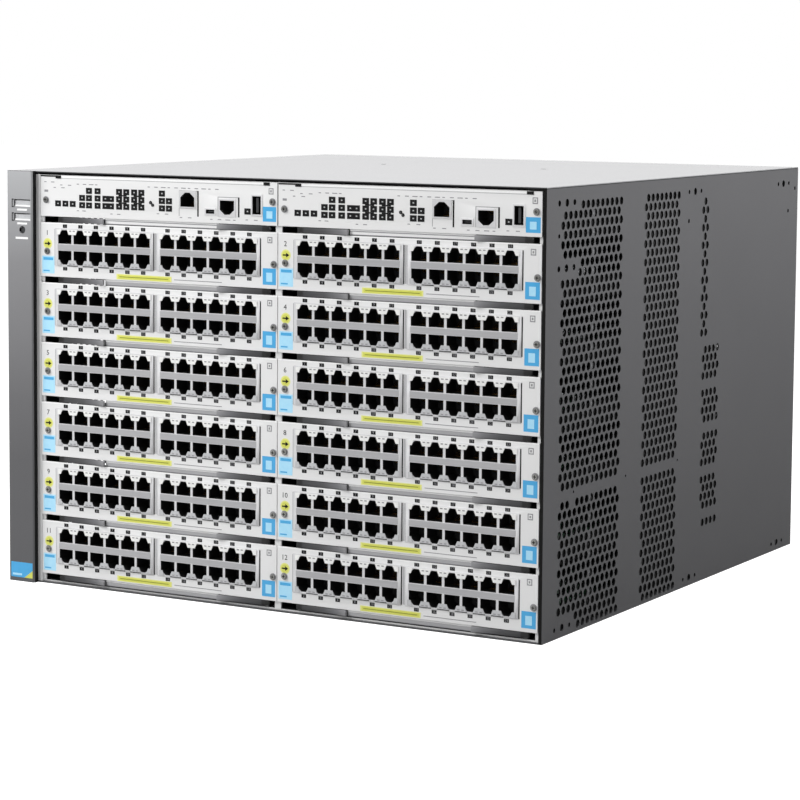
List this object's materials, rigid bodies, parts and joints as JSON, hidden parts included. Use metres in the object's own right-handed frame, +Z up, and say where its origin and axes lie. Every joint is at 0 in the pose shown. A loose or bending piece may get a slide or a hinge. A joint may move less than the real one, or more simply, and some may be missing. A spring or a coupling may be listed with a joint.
{
  "type": "modular chassis switch",
  "caption": "Rack chassis switch with two columns of slide-in port modules, ejector levers, rear power supplies and a fan tray with turning rotors.",
  "frame": {"origin": "bottom centre of the chassis body, on the surface it stands on", "axes": "+X to the right of someone facing the ports, +Y to the rear, +Z up"},
  "size_m": [0.4444, 0.4746, 0.3073],
  "materials": {
    "painted_sheet": "satin",
    "bright_sheet": "satin",
    "faceplate_metal": "satin",
    "bezel_plastic": "satin",
    "lever_plastic": "satin",
    "fan_plastic": "satin",
    "circuit_board": "satin"
  },
  "bodies": {
    "chassis": {"chassis_shell": "painted_sheet", "top_cover": "painted_sheet", "rear_panel": "bright_sheet", "power_bay": "bright_sheet", "bezel_strip": "bezel_plastic", "slot_frame": "bright_sheet", "midplane_board": "circuit_board", "fabric_module_1": "circuit_board", "fabric_module_2": "circuit_board"},
    "line_module_a": {"line_module_a": "faceplate_metal"},
    "lever_a_left": {"lever_a_left": "lever_plastic"},
    "lever_a_right": {"lever_a_right": "lever_plastic"},
    "line_module_b": {"line_module_b": "faceplate_metal"},
    "lever_b_left": {"lever_b_left": "lever_plastic"},
    "lever_b_right": {"lever_b_right": "lever_plastic"},
    "line_module_c": {"line_module_c": "faceplate_metal"},
    "lever_c_left": {"lever_c_left": "lever_plastic"},
    "lever_c_right": {"lever_c_right": "lever_plastic"},
    "line_module_d": {"line_module_d": "faceplate_metal"},
    "lever_d_left": {"lever_d_left": "lever_plastic"},
    "lever_d_right": {"lever_d_right": "lever_plastic"},
    "line_module_e": {"line_module_e": "faceplate_metal"},
    "lever_e_left": {"lever_e_left": "lever_plastic"},
    "lever_e_right": {"lever_e_right": "lever_plastic"},
    "line_module_f": {"line_module_f": "faceplate_metal"},
    "lever_f_left": {"lever_f_left": "lever_plastic"},
    "lever_f_right": {"lever_f_right": "lever_plastic"},
    "line_module_g": {"line_module_g": "faceplate_metal"},
    "lever_g_left": {"lever_g_left": "lever_plastic"},
    "lever_g_right": {"lever_g_right": "lever_plastic"},
    "line_module_h": {"line_module_h": "faceplate_metal"},
    "lever_h_left": {"lever_h_left": "lever_plastic"},
    "lever_h_right": {"lever_h_right": "lever_plastic"},
    "line_module_i": {"line_module_i": "faceplate_metal"},
    "lever_i_left": {"lever_i_left": "lever_plastic"},
    "lever_i_right": {"lever_i_right": "lever_plastic"},
    "line_module_j": {"line_module_j": "faceplate_metal"},
    "lever_j_left": {"lever_j_left": "lever_plastic"},
    "lever_j_right": {"lever_j_right": "lever_plastic"},
    "line_module_k": {"line_module_k": "faceplate_metal"},
    "lever_k_left": {"lever_k_left": "lever_plastic"},
    "lever_k_right": {"lever_k_right": "lever_plastic"},
    "line_module_l": {"line_module_l": "faceplate_metal"},
    "lever_l_left": {"lever_l_left": "lever_plastic"},
    "lever_l_right": {"lever_l_right": "lever_plastic"},
    "management_module_1": {"management_module_1": "faceplate_metal"},
    "lever_m1_left": {"lever_m1_left": "lever_plastic"},
    "lever_m1_right": {"lever_m1_right": "lever_plastic"},
    "management_module_2": {"management_module_2": "faceplate_metal"},
    "lever_m2_left": {"lever_m2_left": "lever_plastic"},
    "lever_m2_right": {"lever_m2_right": "lever_plastic"},
    "power_supply_1": {"power_supply_1": "bright_sheet"},
    "power_supply_2": {"power_supply_2": "bright_sheet"},
    "power_supply_3": {"power_supply_3": "bright_sheet"},
    "power_supply_4": {"power_supply_4": "bright_sheet"},
    "fan_tray": {"fan_tray": "bright_sheet"},
    "fan_rotor_1": {"fan_rotor_1": "fan_plastic"},
    "fan_rotor_2": {"fan_rotor_2": "fan_plastic"},
    "fan_rotor_3": {"fan_rotor_3": "fan_plastic"},
    "fan_rotor_4": {"fan_rotor_4": "fan_plastic"}
  },
  "joints": [
    {"name": "line_module_a_slide", "type": "slide", "parent": "chassis", "child": "line_module_a", "axis": [0, -1, 0], "range_m": [0, 0.27]},
    {"name": "lever_a_left_pivot", "type": "hinge", "parent": "line_module_a", "child": "lever_a_left", "pos_m": [-0.17725, -0.22185, 0.22755], "axis": [0, 0, -1], "range_deg": [0, 80]},
    {"name": "lever_a_right_pivot", "type": "hinge", "parent": "line_module_a", "child": "lever_a_right", "pos_m": [0.00185, -0.22185, 0.22755], "axis": [0, 0, 1], "range_deg": [0, 80]},
    {"name": "line_module_b_slide", "type": "slide", "parent": "chassis", "child": "line_module_b", "axis": [0, -1, 0], "range_m": [0, 0.27]},
    {"name": "lever_b_left_pivot", "type": "hinge", "parent": "line_module_b", "child": "lever_b_left", "pos_m": [0.02995, -0.22185, 0.22755], "axis": [0, 0, -1], "range_deg": [0, 80]},
    {"name": "lever_b_right_pivot", "type": "hinge", "parent": "line_module_b", "child": "lever_b_right", "pos_m": [0.20905, -0.22185, 0.22755], "axis": [0, 0, 1], "range_deg": [0, 80]},
    {"name": "line_module_c_slide", "type": "slide", "parent": "chassis", "child": "line_module_c", "axis": [0, -1, 0], "range_m": [0, 0.27]},
    {"name": "lever_c_left_pivot", "type": "hinge", "parent": "line_module_c", "child": "lever_c_left", "pos_m": [-0.17725, -0.22185, 0.1831], "axis": [0, 0, -1], "range_deg": [0, 80]},
    {"name": "lever_c_right_pivot", "type": "hinge", "parent": "line_module_c", "child": "lever_c_right", "pos_m": [0.00185, -0.22185, 0.1831], "axis": [0, 0, 1], "range_deg": [0, 80]},
    {"name": "line_module_d_slide", "type": "slide", "parent": "chassis", "child": "line_module_d", "axis": [0, -1, 0], "range_m": [0, 0.27]},
    {"name": "lever_d_left_pivot", "type": "hinge", "parent": "line_module_d", "child": "lever_d_left", "pos_m": [0.02995, -0.22185, 0.1831], "axis": [0, 0, -1], "range_deg": [0, 80]},
    {"name": "lever_d_right_pivot", "type": "hinge", "parent": "line_module_d", "child": "lever_d_right", "pos_m": [0.20905, -0.22185, 0.1831], "axis": [0, 0, 1], "range_deg": [0, 80]},
    {"name": "line_module_e_slide", "type": "slide", "parent": "chassis", "child": "line_module_e", "axis": [0, -1, 0], "range_m": [0, 0.27]},
    {"name": "lever_e_left_pivot", "type": "hinge", "parent": "line_module_e", "child": "lever_e_left", "pos_m": [-0.17725, -0.22185, 0.13865], "axis": [0, 0, -1], "range_deg": [0, 80]},
    {"name": "lever_e_right_pivot", "type": "hinge", "parent": "line_module_e", "child": "lever_e_right", "pos_m": [0.00185, -0.22185, 0.13865], "axis": [0, 0, 1], "range_deg": [0, 80]},
    {"name": "line_module_f_slide", "type": "slide", "parent": "chassis", "child": "line_module_f", "axis": [0, -1, 0], "range_m": [0, 0.27]},
    {"name": "lever_f_left_pivot", "type": "hinge", "parent": "line_module_f", "child": "lever_f_left", "pos_m": [0.02995, -0.22185, 0.13865], "axis": [0, 0, -1], "range_deg": [0, 80]},
    {"name": "lever_f_right_pivot", "type": "hinge", "parent": "line_module_f", "child": "lever_f_right", "pos_m": [0.20905, -0.22185, 0.13865], "axis": [0, 0, 1], "range_deg": [0, 80]},
    {"name": "line_module_g_slide", "type": "slide", "parent": "chassis", "child": "line_module_g", "axis": [0, -1, 0], "range_m": [0, 0.27]},
    {"name": "lever_g_left_pivot", "type": "hinge", "parent": "line_module_g", "child": "lever_g_left", "pos_m": [-0.17725, -0.22185, 0.0942], "axis": [0, 0, -1], "range_deg": [0, 80]},
    {"name": "lever_g_right_pivot", "type": "hinge", "parent": "line_module_g", "child": "lever_g_right", "pos_m": [0.00185, -0.22185, 0.0942], "axis": [0, 0, 1], "range_deg": [0, 80]},
    {"name": "line_module_h_slide", "type": "slide", "parent": "chassis", "child": "line_module_h", "axis": [0, -1, 0], "range_m": [0, 0.27]},
    {"name": "lever_h_left_pivot", "type": "hinge", "parent": "line_module_h", "child": "lever_h_left", "pos_m": [0.02995, -0.22185, 0.0942], "axis": [0, 0, -1], "range_deg": [0, 80]},
    {"name": "lever_h_right_pivot", "type": "hinge", "parent": "line_module_h", "child": "lever_h_right", "pos_m": [0.20905, -0.22185, 0.0942], "axis": [0, 0, 1], "range_deg": [0, 80]},
    {"name": "line_module_i_slide", "type": "slide", "parent": "chassis", "child": "line_module_i", "axis": [0, -1, 0], "range_m": [0, 0.27]},
    {"name": "lever_i_left_pivot", "type": "hinge", "parent": "line_module_i", "child": "lever_i_left", "pos_m": [-0.17725, -0.22185, 0.04975], "axis": [0, 0, -1], "range_deg": [0, 80]},
    {"name": "lever_i_right_pivot", "type": "hinge", "parent": "line_module_i", "child": "lever_i_right", "pos_m": [0.00185, -0.22185, 0.04975], "axis": [0, 0, 1], "range_deg": [0, 80]},
    {"name": "line_module_j_slide", "type": "slide", "parent": "chassis", "child": "line_module_j", "axis": [0, -1, 0], "range_m": [0, 0.27]},
    {"name": "lever_j_left_pivot", "type": "hinge", "parent": "line_module_j", "child": "lever_j_left", "pos_m": [0.02995, -0.22185, 0.04975], "axis": [0, 0, -1], "range_deg": [0, 80]},
    {"name": "lever_j_right_pivot", "type": "hinge", "parent": "line_module_j", "child": "lever_j_right", "pos_m": [0.20905, -0.22185, 0.04975], "axis": [0, 0, 1], "range_deg": [0, 80]},
    {"name": "line_module_k_slide", "type": "slide", "parent": "chassis", "child": "line_module_k", "axis": [0, -1, 0], "range_m": [0, 0.27]},
    {"name": "lever_k_left_pivot", "type": "hinge", "parent": "line_module_k", "child": "lever_k_left", "pos_m": [-0.17725, -0.22185, 0.0053], "axis": [0, 0, -1], "range_deg": [0, 80]},
    {"name": "lever_k_right_pivot", "type": "hinge", "parent": "line_module_k", "child": "lever_k_right", "pos_m": [0.00185, -0.22185, 0.0053], "axis": [0, 0, 1], "range_deg": [0, 80]},
    {"name": "line_module_l_slide", "type": "slide", "parent": "chassis", "child": "line_module_l", "axis": [0, -1, 0], "range_m": [0, 0.27]},
    {"name": "lever_l_left_pivot", "type": "hinge", "parent": "line_module_l", "child": "lever_l_left", "pos_m": [0.02995, -0.22185, 0.0053], "axis": [0, 0, -1], "range_deg": [0, 80]},
    {"name": "lever_l_right_pivot", "type": "hinge", "parent": "line_module_l", "child": "lever_l_right", "pos_m": [0.20905, -0.22185, 0.0053], "axis": [0, 0, 1], "range_deg": [0, 80]},
    {"name": "management_module_1_slide", "type": "slide", "parent": "chassis", "child": "management_module_1", "axis": [0, -1, 0], "range_m": [0, 0.27]},
    {"name": "lever_m1_left_pivot", "type": "hinge", "parent": "management_module_1", "child": "lever_m1_left", "pos_m": [-0.17725, -0.22185, 0.272], "axis": [0, 0, -1], "range_deg": [0, 80]},
    {"name": "lever_m1_right_pivot", "type": "hinge", "parent": "management_module_1", "child": "lever_m1_right", "pos_m": [0.00185, -0.22185, 0.272], "axis": [0, 0, 1], "range_deg": [0, 80]},
    {"name": "management_module_2_slide", "type": "slide", "parent": "chassis", "child": "management_module_2", "axis": [0, -1, 0], "range_m": [0, 0.27]},
    {"name": "lever_m2_left_pivot", "type": "hinge", "parent": "management_module_2", "child": "lever_m2_left", "pos_m": [0.02995, -0.22185, 0.272], "axis": [0, 0, -1], "range_deg": [0, 80]},
    {"name": "lever_m2_right_pivot", "type": "hinge", "parent": "management_module_2", "child": "lever_m2_right", "pos_m": [0.20905, -0.22185, 0.272], "axis": [0, 0, 1], "range_deg": [0, 80]},
    {"name": "power_supply_1_slide", "type": "slide", "parent": "chassis", "child": "power_supply_1", "axis": [0, 1, 0], "range_m": [0, 0.155]},
    {"name": "power_supply_2_slide", "type": "slide", "parent": "chassis", "child": "power_supply_2", "axis": [0, 1, 0], "range_m": [0, 0.155]},
    {"name": "power_supply_3_slide", "type": "slide", "parent": "chassis", "child": "power_supply_3", "axis": [0, 1, 0], "range_m": [0, 0.155]},
    {"name": "power_supply_4_slide", "type": "slide", "parent": "chassis", "child": "power_supply_4", "axis": [0, 1, 0], "range_m": [0, 0.155]},
    {"name": "fan_tray_slide", "type": "slide", "parent": "chassis", "child": "fan_tray", "axis": [0, 1, 0], "range_m": [0, 0.06]},
    {"name": "fan_rotor_1_spin", "type": "hinge", "parent": "fan_tray", "child": "fan_rotor_1", "pos_m": [-0.1626, 0.20815, 0.20715], "axis": [0, 1, 0], "continuous": true},
    {"name": "fan_rotor_2_spin", "type": "hinge", "parent": "fan_tray", "child": "fan_rotor_2", "pos_m": [-0.0542, 0.20815, 0.20715], "axis": [0, 1, 0], "continuous": true},
    {"name": "fan_rotor_3_spin", "type": "hinge", "parent": "fan_tray", "child": "fan_rotor_3", "pos_m": [0.0542, 0.20815, 0.20715], "axis": [0, 1, 0], "continuous": true},
    {"name": "fan_rotor_4_spin", "type": "hinge", "parent": "fan_tray", "child": "fan_rotor_4", "pos_m": [0.1626, 0.20815, 0.20715], "axis": [0, 1, 0], "continuous": true}
  ]
}
